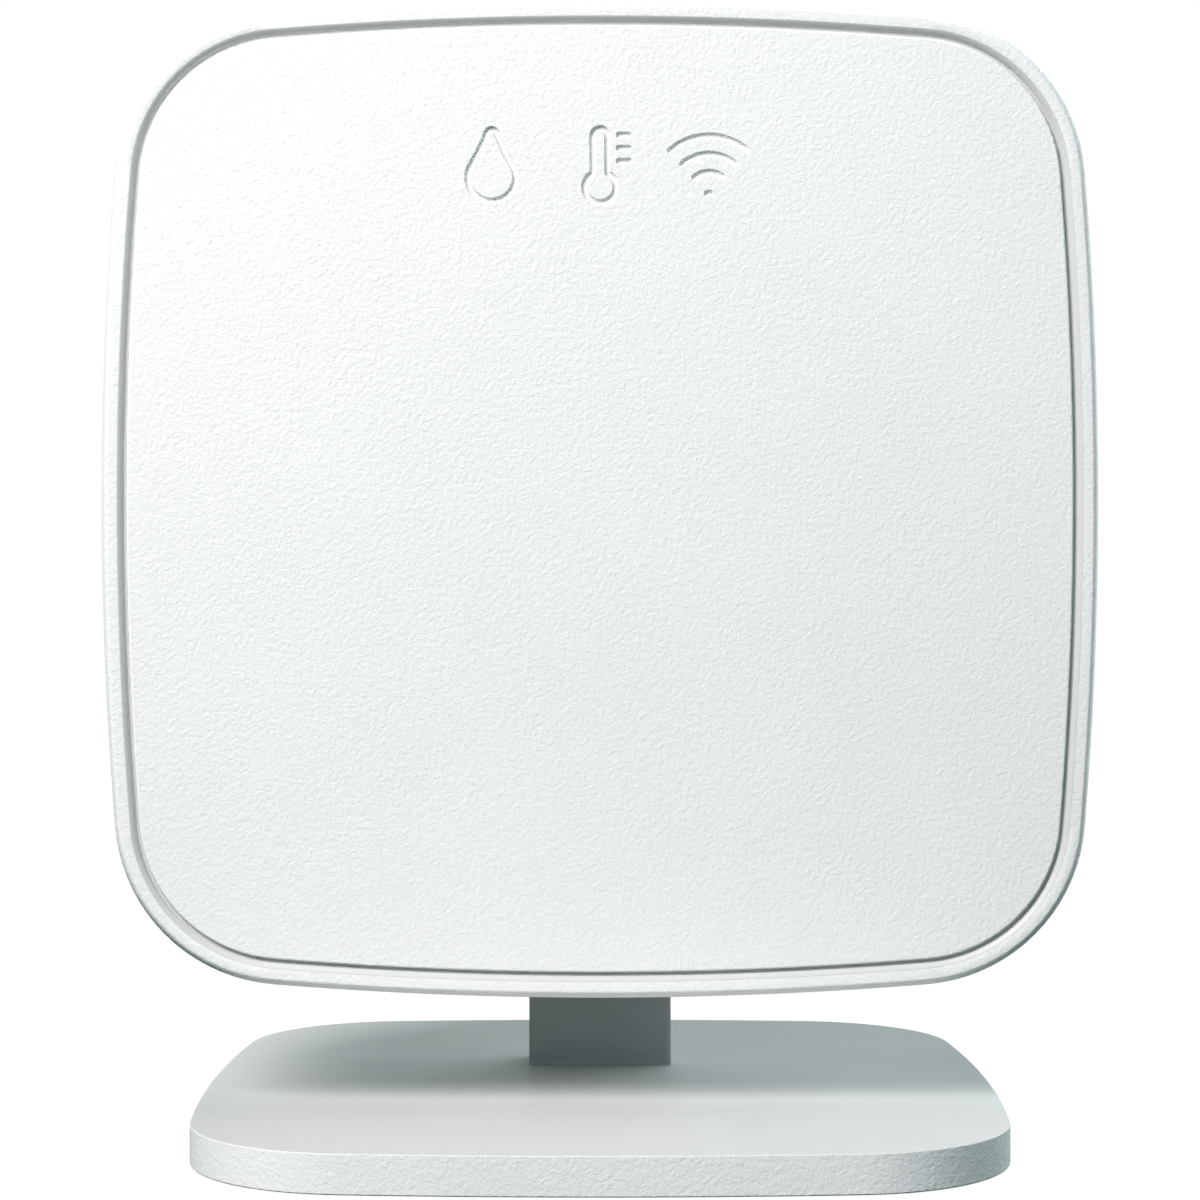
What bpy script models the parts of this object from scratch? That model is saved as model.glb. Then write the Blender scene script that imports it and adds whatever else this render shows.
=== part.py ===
"""Wireless room climate sensor on a table stand.

Metres, +Z up. The front of the sensor faces -Y. The origin is the centre of the stand's underside.
"""

import math

import bmesh
import bpy
from mathutils import Matrix, Vector

# Clearances
FIT = 0.0003  # between pieces that part or move
TOUCH = 0.0001  # between pieces that stay put

# Front cover. Its outline, a square with bowed sides, drives every outline of the housing.
COVER_HALF = 0.0288  # half width at the middle of a side
SIDE_BOW = 0.0017  # how far the middle of a side stands out
COVER_CORNER = 0.00885
COVER_THICK = 0.0016
FRONT_Y = -0.0112

# The cover's skirt and snap hooks, as offsets from the cover's edge
SKIRT = (-0.0012, -0.0022)
SKIRT_DEPTH = 0.0006
HOOK_Z = (0.0070, -0.0075)
HOOK_HALF = 0.0030
HOOK_LENGTH = 0.0043
CATCH = 0.0007

# Housing
CENTRE_Z = 0.0398
REAR_Y = 0.0049
WALL = 0.0016
RIM_INNER = 0.00063  # the rim's flat land, as offsets outwards from the cover's outline
RIM_OUTER = 0.00112
CROWN_OFFSET = 0.0020  # widest line of the side wall
CROWN_DEPTH = 0.0030  # how far behind the front it is
FLOOR_Y = REAR_Y - WALL

# Stand
BASE_HALF = 0.0250
BASE_BOW = 0.00178
BASE_CORNER = 0.01047
BASE_LOW = 0.0003
BASE_TOP = 0.00265
PAD_INSET = 0.0030
PAD_THICK = 0.0008
NECK_HALF = 0.00472
NECK_FRONT = 0.0052
NECK_REAR = 0.0088
NECK_TOP = 0.0370
NECK_SCREW_X = 0.0026
NECK_SCREW_Y = 0.0070
NECK_SCREW_SEAT = 0.0020
NECK_SCREW_LENGTH = 0.0065

# T rail on the neck, and its channel in the back of the housing
RAIL_LOW = 0.0150
RAIL_TOP = 0.0355
RAIL_HEAD_HALF = 0.0045
RAIL_WEB_HALF = 0.0025
RAIL_HEAD_FRONT = 0.0022
RAIL_HEAD_REAR = 0.0034
CHANNEL_WALL = 0.0012

# Battery bay: two AAA cells, one above the other. Heights count from the housing's centre.
CELL_RADIUS = 0.00525
CELL_LENGTH = 0.0445
NUB_RADIUS = 0.0019
NUB_LENGTH = 0.0010
CELL_TIP = 0.0231  # how far the nub's tip is from the middle of the bay
BAY_HALF = 0.0240
BAY_LOW = 0.0016
BAY_TOP = 0.0248
BAY_FRONT = -0.0079
BAY_WALL = 0.0015
BAY_FLOOR = 0.0008
CELL_Y = -0.0023
CELL_Z = (0.0191, 0.0073)  # upper, lower
CONTACT_THICK = 0.0003
TAB_REAR = -0.0036
SPRING_WIRE = 0.00025
SPRING_FOOT_RADIUS = 0.0036
SPRING_TIP_RADIUS = 0.0018

# Battery door
DOOR_EDGE = 0.0007  # how far the door reaches over the bay's edge
DOOR_THICK = 0.0013
DOOR_PIN_Y = 0.0044
DOOR_PIN_Z = 0.0002
DOOR_PIN_RADIUS = 0.0005
DOOR_PIN_X = 0.0150
DOOR_PIN_HALF = 0.0032
POCKET_WALL = 0.0010

# Circuit board in the lower half
BOARD_FRONT = -0.0079
BOARD_REAR = -0.0063
BOARD_TOP = -0.0006
BOARD_INSET = -0.0014
BOARD_SCREWS = {"left": (-0.0200, -0.0200), "right": (0.0200, -0.0200), "top": (0.0, -0.0055)}
BOARD_SCREW_LENGTH = 0.0062
BOSS_RADIUS = 0.0025

# Screws
SCREW_HEAD_RADIUS = 0.0019
SCREW_HEAD_HEIGHT = 0.0008
SCREW_SLOT = 0.00044
PILOT_RADIUS = 0.00095
SHANK_RADIUS = 0.00075

# Pairing button
BUTTON_X = 0.0170
BUTTON_Z = -0.0120
BUTTON_RADIUS = 0.0026
STEM_RADIUS = 0.0012
FLANGE_RADIUS = 0.0035
BUTTON_TRAVEL = 0.0004
PLUNGER_RADIUS = 0.0017
PLUNGER_TIP = -0.0020
SWITCH_TOP = -0.0030

# Light pipe
LED_X = 0.0090
LED_Z = -0.0120
PIPE_RADIUS = 0.0010


# Plain blocks on the board's rear face: look, (middle, half size) along X and Z, height, gap under it
BLOCK_CHIPS = {
    "microcontroller": ("chip", (-0.0010, 0.0025), (-0.0130, 0.0025), 0.0009, TOUCH),
    "quartz_crystal": ("steel", (-0.0060, 0.0008), (-0.0080, 0.0016), 0.0008, TOUCH),
    "power_inductor": ("chip", (0.0050, 0.0016), (-0.0230, 0.0016), 0.0018, TOUCH),
    "radio_board": ("green", (-0.0180, 0.0055), (-0.0075, 0.0045), 0.0008, TOUCH),
    "radio_shield": ("steel", (-0.0170, 0.0040), (-0.0075, 0.0039), 0.0020, 0.0010),
    "climate_sensor": ("chip", (-0.0140, 0.0015), (-0.0235, 0.0015), 0.0010, TOUCH),
    "status_led": ("lens", (LED_X, 0.0010), (LED_Z, 0.0008), 0.0007, TOUCH),
}


# ---------------------------------------------------------------- materials


def material(name, colour, roughness, metallic=0.0, alpha=1.0):
    made = bpy.data.materials.new(name)
    made.use_nodes = True
    shader = made.node_tree.nodes["Principled BSDF"]
    shader.inputs["Base Color"].default_value = (*colour, 1.0)
    shader.inputs["Roughness"].default_value = roughness
    shader.inputs["Metallic"].default_value = metallic
    shader.inputs["Alpha"].default_value = alpha
    return made


# ---------------------------------------------------------------- outlines


def soft_square(half, bow, corner, grow=0.0):
    """A square with bowed sides and round corners, anticlockwise, moved outwards by grow."""
    side_radius = (half * half + bow * bow) / (2 * bow)
    reach = side_radius - half
    # The corner's centre (c, c) lies side_radius - corner from the side's centre (-reach, 0).
    c = (-reach + math.sqrt(2 * (side_radius - corner) ** 2 - reach * reach)) / 2
    turn = math.atan2(c, c + reach)
    arcs = []
    for step in range(-4, 5):
        arcs.append((-reach, 0.0, side_radius, turn * step / 4))
    for step in range(1, 8):
        arcs.append((c, c, corner, turn + (math.pi / 2 - 2 * turn) * step / 8))
    points = []
    for quarter in range(4):
        spin = Matrix.Rotation(quarter * math.pi / 2, 2)
        for x, y, radius, angle in arcs:
            edge = Vector((math.cos(angle), math.sin(angle))) * (radius + grow)
            points.append(spin @ (Vector((x, y)) + edge))
    return points


def cover_ring(grow, y):
    """The cover's outline moved outwards by grow, standing at depth y."""
    outline = soft_square(COVER_HALF, SIDE_BOW, COVER_CORNER, grow)
    return [Vector((p.x, y, CENTRE_Z + p.y)) for p in outline]


def base_ring(grow, z):
    outline = soft_square(BASE_HALF, BASE_BOW, BASE_CORNER, grow)
    return [Vector((p.x, p.y, z)) for p in outline]


# ---------------------------------------------------------------- shapes
# Each returns a function that adds a closed shape to a bmesh.


def loft(rings):
    """A solid through rings of equal count, with both ends closed."""

    def add(mesh):
        rows = [[mesh.verts.new(point) for point in ring] for ring in rings]
        for low, high in zip(rows, rows[1:]):
            for i, vert in enumerate(low):
                after = (i + 1) % len(low)
                mesh.faces.new((vert, low[after], high[after], high[i]))
        mesh.faces.new(rows[0][::-1])
        mesh.faces.new(rows[-1])

    return add


def block(x, y, z):
    """A box between the two limits given on each axis."""

    def add(mesh):
        size = Vector((x[1] - x[0], y[1] - y[0], z[1] - z[0]))
        middle = Vector((x[0] + x[1], y[0] + y[1], z[0] + z[1])) / 2
        place = Matrix.Translation(middle) @ Matrix.Diagonal((*size, 1.0))
        bmesh.ops.create_cube(mesh, size=1.0, matrix=place)

    return add


def turned(start, along, profile, sides=24):
    """A solid of revolution: profile is (distance along the axis, radius), from start."""
    axis = Vector(along).normalized()
    turn = axis.to_track_quat("Z", "Y").to_matrix().to_4x4()
    place = Matrix.Translation(Vector(start)) @ turn
    rings = []
    for distance, radius in profile:
        ring = []
        for side in range(sides):
            angle = 2 * math.pi * side / sides
            spot = Vector((radius * math.cos(angle), radius * math.sin(angle), distance))
            ring.append(place @ spot)
        rings.append(ring)
    return loft(rings)


def rod(start, along, length, radius, sides=24):
    return turned(start, along, [(0.0, radius), (length, radius)], sides)


def plate(outline, y):
    """An outline of (x, z) points extruded between two depths."""
    return loft([[Vector((x, depth, z)) for x, z in outline] for depth in y])


# ---------------------------------------------------------------- objects


def new_object(name, shapes):
    mesh = bmesh.new()
    for add in shapes:
        add(mesh)
    bmesh.ops.recalc_face_normals(mesh, faces=mesh.faces)
    data = bpy.data.meshes.new(name)
    mesh.to_mesh(data)
    mesh.free()
    made = bpy.data.objects.new(name, data)
    bpy.context.scene.collection.objects.link(made)
    return made


def combine(target, operation, shapes):
    """Adds shapes to the target, or cuts them out. Shapes in one call stay clear of each other."""
    helper = new_object(f"{target.name}_{operation.lower()}_{len(target.modifiers)}", shapes)
    helper.hide_render = True
    helper.display_type = "WIRE"
    helper.parent = target
    boolean = target.modifiers.new(operation.title(), "BOOLEAN")
    boolean.operation = operation
    boolean.object = helper
    boolean.solver = "EXACT"


def join(target, *shapes):
    combine(target, "UNION", shapes)


def carve(target, *shapes):
    combine(target, "DIFFERENCE", shapes)


def piece(name, look, group, *shapes):
    """One sub-part, riding on the empty of its moving group."""
    made = new_object(name, shapes)
    made.data.materials.append(look)
    made.data.shade_smooth()
    made.data.set_sharp_from_angle(angle=math.radians(35))
    made.parent = group
    made.matrix_parent_inverse = group.matrix_world.inverted()
    return made


def group_at(name, place, parent=None):
    empty = bpy.data.objects.new(name, None)
    empty.empty_display_size = 0.005
    bpy.context.scene.collection.objects.link(empty)
    empty.parent = parent
    empty.location = Vector(place) - (parent.matrix_world.translation if parent else Vector())
    bpy.context.view_layer.update()
    return empty


def screw(name, look, group, seat, along, length):
    """A pan-head screw. seat is the middle of the head's underside, along points to the tip."""
    head_radius = SCREW_HEAD_RADIUS
    head_height = SCREW_HEAD_HEIGHT
    way = Vector(along)
    profile = [
        (-head_height, head_radius * 0.72),
        (-head_height * 0.5, head_radius),
        (0.0, head_radius),
        (0.0, SHANK_RADIUS),
        (length * 0.9, SHANK_RADIUS),
        (length, SHANK_RADIUS * 0.45),
    ]
    made = piece(name, look, group, turned(seat, along, profile, 16))
    top = Vector(seat) - way * (head_height + TOUCH)
    arm = head_radius * 0.5
    width = SCREW_SLOT / 2
    deep = head_height * 0.6
    cross = Vector((1.0, 0.0, 0.0))
    for long_way in (cross, way.cross(cross)):
        long_side = long_way * arm
        short_side = way.cross(long_way) * width
        first, second = long_side + short_side, short_side - long_side
        corners = (first, second, -first, -second)
        carve(made, loft([[top + corner + way * depth for corner in corners] for depth in (0.0, deep)]))
    return made


# ---------------------------------------------------------------- stand


def build_stand(group, white, rubber, steel):
    edge = 0.0003
    base = piece(
        "stand_base",
        white,
        group,
        loft(
            [
                base_ring(-edge, BASE_LOW),
                base_ring(0.0, BASE_LOW + edge),
                base_ring(0.0, BASE_TOP - edge),
                base_ring(-edge, BASE_TOP),
            ]
        ),
    )
    recess_top = PAD_THICK + FIT
    carve(base, loft([base_ring(FIT - PAD_INSET, z) for z in (BASE_LOW - edge, recess_top)]))
    screw_x = (-NECK_SCREW_X, NECK_SCREW_X)
    up = (0, 0, 1)
    head_hole = (NECK_SCREW_SEAT + TOUCH, SCREW_HEAD_RADIUS + FIT)
    heads = [rod((x, NECK_SCREW_Y, 0.0), up, *head_hole) for x in screw_x]
    shanks = [rod((x, NECK_SCREW_Y, 0.0), up, BASE_TOP + WALL, PILOT_RADIUS) for x in screw_x]
    carve(base, *heads)
    carve(base, *shanks)

    piece("base_pad", rubber, group, loft([base_ring(-PAD_INSET, z) for z in (0.0, PAD_THICK)]))

    neck_low = BASE_TOP + TOUCH
    neck = piece(
        "stand_neck",
        white,
        group,
        block((-NECK_HALF, NECK_HALF), (NECK_FRONT, NECK_REAR), (neck_low, NECK_TOP)),
    )
    web = block(
        (-RAIL_WEB_HALF, RAIL_WEB_HALF), (RAIL_HEAD_REAR - TOUCH, NECK_FRONT + TOUCH), (RAIL_LOW, RAIL_TOP)
    )
    head = block(
        (-RAIL_HEAD_HALF, RAIL_HEAD_HALF), (RAIL_HEAD_FRONT, RAIL_HEAD_REAR), (RAIL_LOW, RAIL_TOP)
    )
    join(neck, web)
    join(neck, head)
    hole_top = NECK_SCREW_SEAT + NECK_SCREW_LENGTH + WALL
    holes = [rod((x, NECK_SCREW_Y, 0.0), up, hole_top, PILOT_RADIUS) for x in screw_x]
    carve(neck, *holes)

    for name, x in zip(("left", "right"), screw_x):
        seat = (x, NECK_SCREW_Y, NECK_SCREW_SEAT)
        screw(f"stand_screw_{name}", steel, group, seat, up, NECK_SCREW_LENGTH)


# ---------------------------------------------------------------- housing


def build_cover(group, white):
    """Front plate with a locating skirt and four snap hooks behind it."""
    back = FRONT_Y + COVER_THICK
    skirt_rear = back + SKIRT_DEPTH
    edge = 0.0002
    cover = piece(
        "front_cover",
        white,
        group,
        loft(
            [
                cover_ring(-edge, FRONT_Y),
                cover_ring(0.0, FRONT_Y + edge),
                cover_ring(0.0, back),
                cover_ring(SKIRT[0], back),
                cover_ring(SKIRT[0], skirt_rear),
                cover_ring(SKIRT[1], skirt_rear),
                cover_ring(SKIRT[1], back),
            ]
        ),
    )
    inner = COVER_HALF + SKIRT[1]
    outer = COVER_HALF + SKIRT[0]
    hook_rear = skirt_rear + HOOK_LENGTH
    for side in (-1, 1):
        arm = sorted((side * inner, side * (outer - TOUCH)))
        catch = sorted((side * inner, side * (outer + CATCH)))
        for dz in HOOK_Z:
            height = (CENTRE_Z + dz - HOOK_HALF, CENTRE_Z + dz + HOOK_HALF)
            join(cover, block(arm, (skirt_rear - TOUCH, hook_rear), height))
            join(cover, block(catch, (hook_rear - 0.0012, hook_rear - TOUCH), height))


def hook_ledges():
    """Ledges in the housing's side walls, in front of the cover's catches."""
    catch_front = FRONT_Y + COVER_THICK + SKIRT_DEPTH + HOOK_LENGTH - 0.0012
    ledges = []
    for side in (-1, 1):
        width = sorted((side * (COVER_HALF + SKIRT[0] + FIT), side * (COVER_HALF + 2 * FIT)))
        for dz in HOOK_Z:
            height = (CENTRE_Z + dz - HOOK_HALF - FIT, CENTRE_Z + dz + HOOK_HALF + FIT)
            ledges.append(block(width, (catch_front - FIT - 0.0012, catch_front - FIT), height))
    return ledges


def housing_rings():
    """From the inner floor forwards to the rim, over it, and back round the outside."""
    rings = [
        cover_ring(-0.0003, FLOOR_Y),
        cover_ring(FIT, FRONT_Y + 0.00035),
        cover_ring(RIM_INNER, FRONT_Y),
        cover_ring(RIM_OUTER, FRONT_Y),
    ]
    for degrees in (25, 50, 90):
        angle = math.radians(degrees)
        grow = RIM_OUTER + (CROWN_OFFSET - RIM_OUTER) * math.sin(angle)
        rings.append(cover_ring(grow, FRONT_Y + CROWN_DEPTH * (1 - math.cos(angle))))
    rings.append(cover_ring(CROWN_OFFSET - 0.0003, REAR_Y - 0.0018))
    rings.append(cover_ring(CROWN_OFFSET - 0.0009, REAR_Y - 0.0006))
    rings.append(cover_ring(CROWN_OFFSET - 0.0018, REAR_Y))
    return rings


def vent_slots():
    """Slots in the back beside the climate sensor, and in the wall under it."""
    slots = []
    for row in range(6):
        z = CENTRE_Z - 0.0230 + row * 0.0026
        slots.append(block((-0.0200, -0.0090), (FLOOR_Y - WALL, REAR_Y + WALL), (z, z + 0.0011)))
    for column in range(5):
        x = -0.0185 + column * 0.0022
        low = CENTRE_Z - COVER_HALF - 2 * WALL
        slots.append(block((x, x + 0.0010), (-0.0060, 0.0005), (low, low + 3 * WALL)))
    return slots


def build_housing(group, white):
    housing = piece("rear_housing", white, group, loft(housing_rings()))
    z = CENTRE_Z

    bay_outer = BAY_HALF + BAY_WALL + FIT
    join(
        housing,
        block(
            (-bay_outer, bay_outer),
            (BAY_FRONT - BAY_FLOOR, FLOOR_Y + TOUCH),
            (z + BAY_LOW - BAY_WALL, z + BAY_TOP + BAY_WALL),
        ),
    )
    join(housing, *hook_ledges())
    channel_half = RAIL_HEAD_HALF + FIT + CHANNEL_WALL
    channel_floor = RAIL_HEAD_FRONT - FIT - CHANNEL_WALL
    channel_top = RAIL_TOP + FIT
    channel_height = (z - COVER_HALF - 0.0010, channel_top + CHANNEL_WALL)
    join(housing, block((-channel_half, channel_half), (channel_floor, FLOOR_Y + TOUCH), channel_height))
    # Bosses for the board's screws: the top one stands on the rail channel.
    boss_front = BOARD_REAR + TOUCH
    for name, (x, dz) in BOARD_SCREWS.items():
        foot = FLOOR_Y + TOUCH
        if name == "top":
            foot = channel_floor + TOUCH
        join(housing, rod((x, boss_front, z + dz), (0, 1, 0), foot - boss_front, BOSS_RADIUS, 20))

    carve(
        housing,
        block((-BAY_HALF, BAY_HALF), (BAY_FRONT, REAR_Y + WALL), (z + BAY_LOW, z + BAY_TOP)),
    )
    door = DOOR_EDGE + FIT
    seat = REAR_Y - DOOR_THICK - FIT
    door_height = (z + BAY_LOW - door, z + BAY_TOP + door)
    carve(housing, block((-BAY_HALF - door, BAY_HALF + door), (seat, REAR_Y + WALL), door_height))
    pin_front = DOOR_PIN_Y - DOOR_PIN_RADIUS - FIT
    pin_low = z + DOOR_PIN_Z - DOOR_PIN_RADIUS - FIT
    pin_reach = DOOR_PIN_HALF + FIT
    backing_depth = (pin_front - POCKET_WALL, FLOOR_Y + TOUCH)
    for x in (-DOOR_PIN_X, DOOR_PIN_X):
        backing = (x - pin_reach - POCKET_WALL, x + pin_reach + POCKET_WALL)
        join(housing, block(backing, backing_depth, (pin_low - POCKET_WALL, z + BAY_LOW)))
    pockets = []
    for x in (-DOOR_PIN_X, DOOR_PIN_X):
        width = (x - pin_reach, x + pin_reach)
        pockets.append(block(width, (pin_front, REAR_Y + WALL), (pin_low, z + BAY_LOW)))
    carve(housing, *pockets)
    # Slot for the two contact tabs, through the bay's lower wall.
    tabs_height = (z + BAY_LOW - BAY_WALL - FIT, z + BAY_LOW + FIT)
    carve(housing, block((-BAY_HALF, -BAY_HALF + 3 * CONTACT_THICK), (BAY_FRONT, TAB_REAR), tabs_height))

    head = RAIL_HEAD_HALF + FIT
    web = RAIL_WEB_HALF + FIT
    below = z - COVER_HALF - 0.0040
    channel = (below, channel_top)
    carve(housing, block((-head, head), (RAIL_HEAD_FRONT - FIT, RAIL_HEAD_REAR + FIT), channel))
    carve(housing, block((-web, web), (RAIL_HEAD_REAR, REAR_Y + WALL), channel))

    pilots = []
    for x, dz in BOARD_SCREWS.values():
        pilots.append(rod((x, BOARD_REAR - WALL, z + dz), (0, 1, 0), 0.0070, PILOT_RADIUS, 16))
    carve(housing, *pilots)
    back = (0, 1, 0)
    button_hole = rod((BUTTON_X, FLOOR_Y - WALL, z + BUTTON_Z), back, 3 * WALL, BUTTON_RADIUS + FIT)
    pipe_hole = rod((LED_X, FLOOR_Y - WALL, z + LED_Z), back, 3 * WALL, PIPE_RADIUS + FIT, 16)
    carve(housing, button_hole, pipe_hole, *vent_slots())


# ---------------------------------------------------------------- electronics


def board_outline():
    """The housing's inner outline below the battery bay."""
    outline = soft_square(COVER_HALF, SIDE_BOW, COVER_CORNER, BOARD_INSET)
    lower = [(p.x, CENTRE_Z + p.y) for p in outline if p.y < BOARD_TOP]
    side = max(x for x, _ in lower)
    top = CENTRE_Z + BOARD_TOP
    lower.sort(key=lambda point: math.atan2(point[1] - top, point[0]))
    return [(-side, top), *lower, (side, top)]


def on_board(x, z, height, lift=TOUCH):
    """A block on the board's rear face. x and z are (middle, half size), z from the housing's centre."""
    low = BOARD_REAR + lift
    middle = CENTRE_Z + z[0]
    return block((x[0] - x[1], x[0] + x[1]), (low, low + height), (middle - z[1], middle + z[1]))


def build_board(group, green, steel):
    board = piece("circuit_board", green, group, plate(board_outline(), (BOARD_FRONT, BOARD_REAR)))
    holes = []
    for x, dz in BOARD_SCREWS.values():
        start = (x, BOARD_FRONT - WALL, CENTRE_Z + dz)
        holes.append(rod(start, (0, 1, 0), 3 * WALL, PILOT_RADIUS + FIT, 16))
    carve(board, *holes)
    notches = []
    low = CENTRE_Z + HOOK_Z[1] - HOOK_HALF - 2 * FIT
    high = CENTRE_Z + HOOK_Z[1] + HOOK_HALF + 2 * FIT
    for side in (-1, 1):
        width = sorted((side * (COVER_HALF + SKIRT[1] - FIT), side * COVER_HALF))
        notches.append(block(width, (BOARD_FRONT - WALL, BOARD_REAR + WALL), (low, high)))
    carve(board, *notches)
    for name, (x, dz) in BOARD_SCREWS.items():
        seat = (x, BOARD_FRONT - TOUCH, CENTRE_Z + dz)
        screw(f"board_screw_{name}", steel, group, seat, (0, 1, 0), BOARD_SCREW_LENGTH)


def build_chips(group, looks):
    for name, (look, x, z, height, lift) in BLOCK_CHIPS.items():
        piece(name, looks[look], group, on_board(x, z, height, lift))
    # A can with a crimped waist
    wide, narrow = 0.0020, 0.0018
    can = [(0.0, wide), (0.0004, wide), (0.0008, narrow), (0.0012, wide), (0.0052, wide), (0.0054, narrow)]
    start = (0.0110, BOARD_REAR + TOUCH, CENTRE_Z - 0.0220)
    piece("reservoir_capacitor", looks["steel"], group, turned(start, (0, 1, 0), can, 20))
    build_antenna(group, looks["steel"])

    # The foam seals the climate sensor off from the warmth of the case.
    _, sensor_x, sensor_z, _, _ = BLOCK_CHIPS["climate_sensor"]
    outside = on_board((sensor_x[0], 0.0032), (-0.0232, 0.0026), 0.0085)
    foam = piece("climate_foam", looks["foam"], group, outside)
    window_x = (sensor_x[0], sensor_x[1] + 2 * FIT)
    window_z = (sensor_z[0], sensor_z[1] + 0.0004)
    carve(foam, on_board(window_x, window_z, 0.0100, -0.0005))

    pipe_start = BOARD_REAR + 0.0012
    pipe = turned(
        (LED_X, pipe_start, CENTRE_Z + LED_Z),
        (0, 1, 0),
        [(0.0, PIPE_RADIUS + FIT), (0.0080, PIPE_RADIUS), (REAR_Y - pipe_start, PIPE_RADIUS)],
        16,
    )
    piece("light_pipe", looks["lens"], group, pipe)


def build_antenna(group, steel):
    """A bent strip on two legs beside the radio module."""
    thick = 0.0003
    x = -0.0262
    low = CENTRE_Z - 0.0130
    high = CENTRE_Z - 0.0030
    rear = BOARD_REAR + 0.0050
    strip = piece("antenna", steel, group, block((x, x + 0.0012), (rear - thick, rear), (low, high)))
    for z in (low, low + 0.0030):
        join(strip, block((x, x + 0.0012), (BOARD_REAR + TOUCH, rear - thick / 2), (z, z + thick)))


def build_switch(group, plunger_group, looks):
    """A push switch of 6 mm on the board, with its plunger in a bore."""
    z = CENTRE_Z + BUTTON_Z
    height = SWITCH_TOP - BOARD_REAR - TOUCH
    half = 0.0030
    case = on_board((BUTTON_X, half), (BUTTON_Z, half), height)
    body = piece("switch_body", looks["chip"], group, case)
    bore_floor = SWITCH_TOP - 0.0018
    carve(body, rod((BUTTON_X, bore_floor, z), (0, 1, 0), 0.0030, PLUNGER_RADIUS + FIT))
    start = bore_floor + BUTTON_TRAVEL + FIT
    plunger = rod((BUTTON_X, start, z), (0, 1, 0), PLUNGER_TIP - start, PLUNGER_RADIUS)
    piece("switch_plunger", looks["grey"], plunger_group, plunger)


def build_button(group, white):
    """Cap in the back of the housing, a flange that keeps it in, and a stem down to the switch."""
    start = PLUNGER_TIP + TOUCH
    flange = FLOOR_Y - FIT - 0.0008
    profile = [
        (0.0, STEM_RADIUS),
        (flange - start, STEM_RADIUS),
        (flange - start, FLANGE_RADIUS),
        (FLOOR_Y - FIT - start, FLANGE_RADIUS),
        (FLOOR_Y - FIT - start, BUTTON_RADIUS),
        (REAR_Y - 0.0003 - start, BUTTON_RADIUS),
        (REAR_Y - 0.0001 - start, BUTTON_RADIUS - 0.0002),
    ]
    spot = (BUTTON_X, start, CENTRE_Z + BUTTON_Z)
    piece("pairing_button", white, group, turned(spot, (0, 1, 0), profile, 28))


# ---------------------------------------------------------------- battery


def cell(name, look, group, z, side):
    """An AAA cell whose positive nub points to side (-1 or 1) along X."""
    tip = side * CELL_TIP
    body = CELL_LENGTH - NUB_LENGTH
    rim = 0.0004
    profile = [
        (0.0, NUB_RADIUS * 0.85),
        (0.0002, NUB_RADIUS),
        (NUB_LENGTH, NUB_RADIUS),
        (NUB_LENGTH, CELL_RADIUS - rim),
        (NUB_LENGTH + rim, CELL_RADIUS),
        (NUB_LENGTH + body - rim, CELL_RADIUS),
        (NUB_LENGTH + body, CELL_RADIUS - rim),
    ]
    piece(name, look, group, turned((tip, CELL_Y, z), (-side, 0, 0), profile, 32))


def contact_spring(name, look, group, z, side):
    """A conical spring standing on the contact plate at one end of the bay."""
    turns = 2.5
    steps = 16
    foot = BAY_HALF - FIT - CONTACT_THICK - SPRING_WIRE - TOUCH
    gap = 2 * TOUCH
    height = foot - (CELL_LENGTH - CELL_TIP) - gap - SPRING_WIRE
    curve = bpy.data.curves.new(name, "CURVE")
    curve.dimensions = "3D"
    curve.bevel_depth = SPRING_WIRE
    curve.bevel_resolution = 2
    curve.use_fill_caps = True
    count = int(turns * steps)
    line = curve.splines.new("POLY")
    line.points.add(count)
    for i in range(count + 1):
        part = i / count
        angle = 2 * math.pi * turns * part
        radius = SPRING_FOOT_RADIUS + (SPRING_TIP_RADIUS - SPRING_FOOT_RADIUS) * part
        x = side * (foot - height * part)
        y = CELL_Y + radius * math.cos(angle)
        line.points[i].co = (x, y, z + radius * math.sin(angle), 1.0)
    curve.materials.append(look)
    made = bpy.data.objects.new(name, curve)
    bpy.context.scene.collection.objects.link(made)
    made.parent = group
    made.matrix_parent_inverse = group.matrix_world.inverted()


def build_contacts(group, nickel):
    """Plates at the bay's ends. Two of them have tabs down to the board, and one bridges the cells."""
    upper, lower = (CENTRE_Z + z for z in CELL_Z)
    half = 0.0042
    depth = (CELL_Y - half, CELL_Y + half)
    outer = BAY_HALF - FIT
    left = (-outer, -outer + CONTACT_THICK)
    right = (outer - CONTACT_THICK, outer)
    tab_width = 0.0009
    front = BAY_FRONT + FIT

    piece("bridge_contact", nickel, group, block(right, depth, (lower - half, upper + half)))
    positive = piece("positive_contact", nickel, group, block(left, depth, (lower - half, lower + half)))
    tab = (front + 2 * tab_width, front + 4 * tab_width)
    join(positive, block(left, tab, (CENTRE_Z - 0.0025, lower - half + TOUCH)))
    negative = piece("negative_contact", nickel, group, block(left, depth, (upper - half, upper + half)))
    join(negative, block(left, (front, depth[0] + TOUCH), (upper - half, upper)))
    negative_tab = (front, front + tab_width * 0.9)
    join(negative, block(left, negative_tab, (CENTRE_Z - 0.0002, upper - half + TOUCH)))


def build_battery(group, looks):
    upper, lower = (CENTRE_Z + z for z in CELL_Z)
    cell("battery_upper", looks["cell"], group, upper, 1)
    cell("battery_lower", looks["cell"], group, lower, -1)
    build_contacts(group, looks["nickel"])
    contact_spring("negative_spring", looks["nickel"], group, upper, -1)
    contact_spring("bridge_spring", looks["nickel"], group, lower, 1)


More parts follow.
